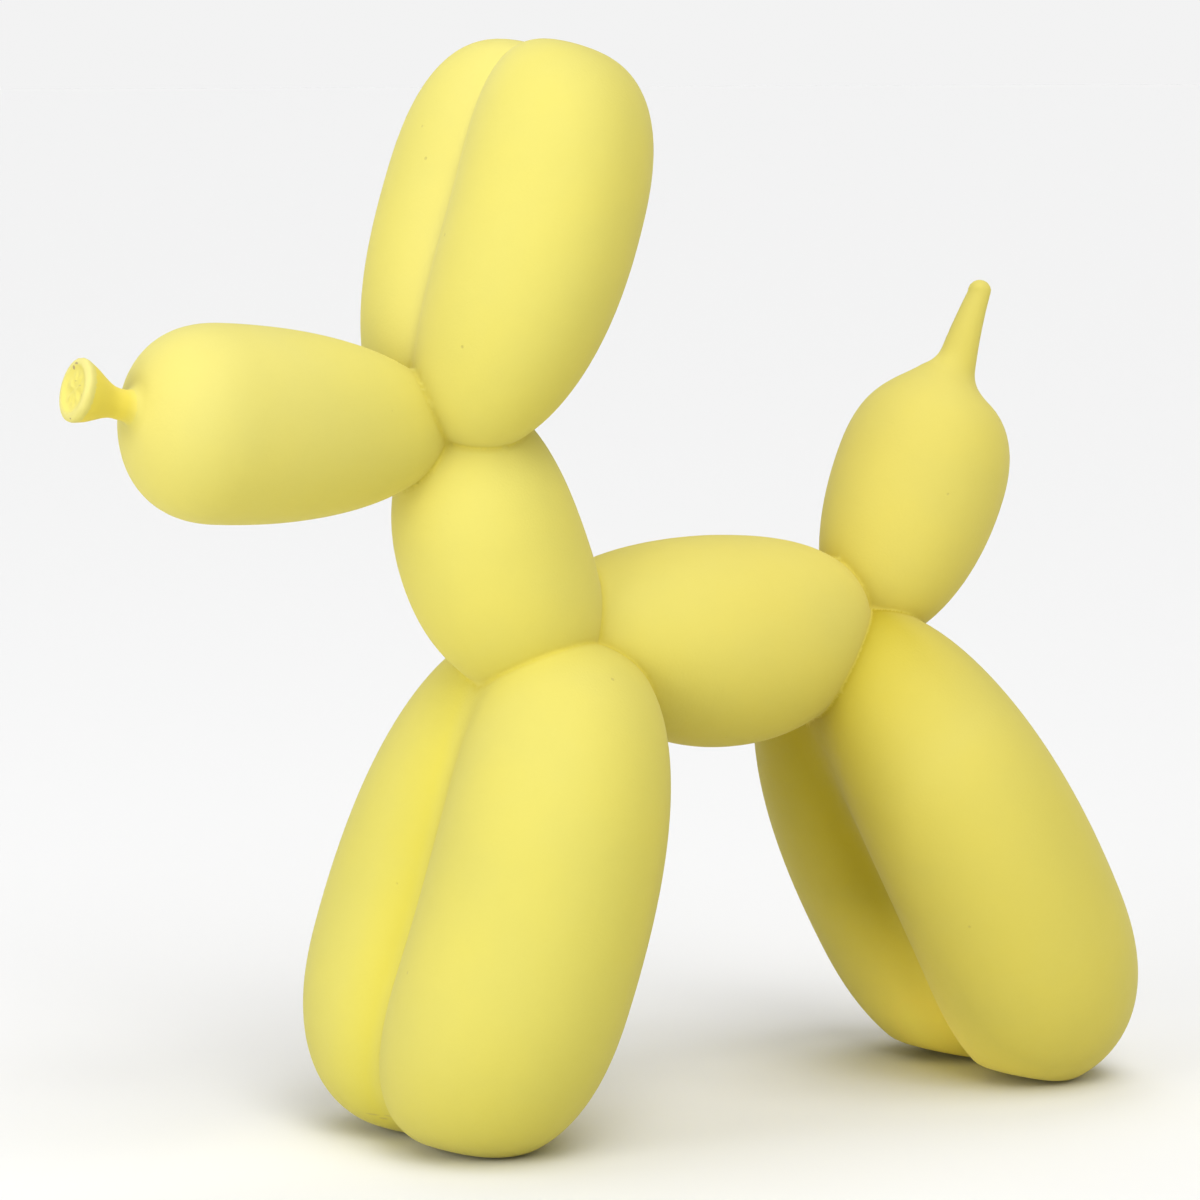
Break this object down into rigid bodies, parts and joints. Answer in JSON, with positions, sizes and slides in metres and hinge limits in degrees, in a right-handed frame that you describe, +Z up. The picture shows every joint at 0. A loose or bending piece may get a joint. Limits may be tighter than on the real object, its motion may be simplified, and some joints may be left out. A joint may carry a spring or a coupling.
{
  "type": "balloon dog figurine",
  "caption": "Figurine of a dog twisted from a long balloon, standing on flattened feet, with a flared nozzle at the nose and a small nipple at the tip of the tail.",
  "frame": {"origin": "middle of the ground under the dog, halfway between the nozzle's rim and the back of the hind legs", "axes": "+Z up, nose towards -X, alike on both sides of the XZ plane, the dog's left on the -Y side"},
  "size_m": [0.27, 0.096, 0.2505],
  "materials": {
    "matte_paint": "powdery matte pale yellow paint on cast resin, with faint mottling, a fine grain, a few pits and tiny dark chips at the nozzle's rim"
  },
  "bodies": {
    "root": {"balloon_dog": "matte_paint"}
  },
  "joints": []
}
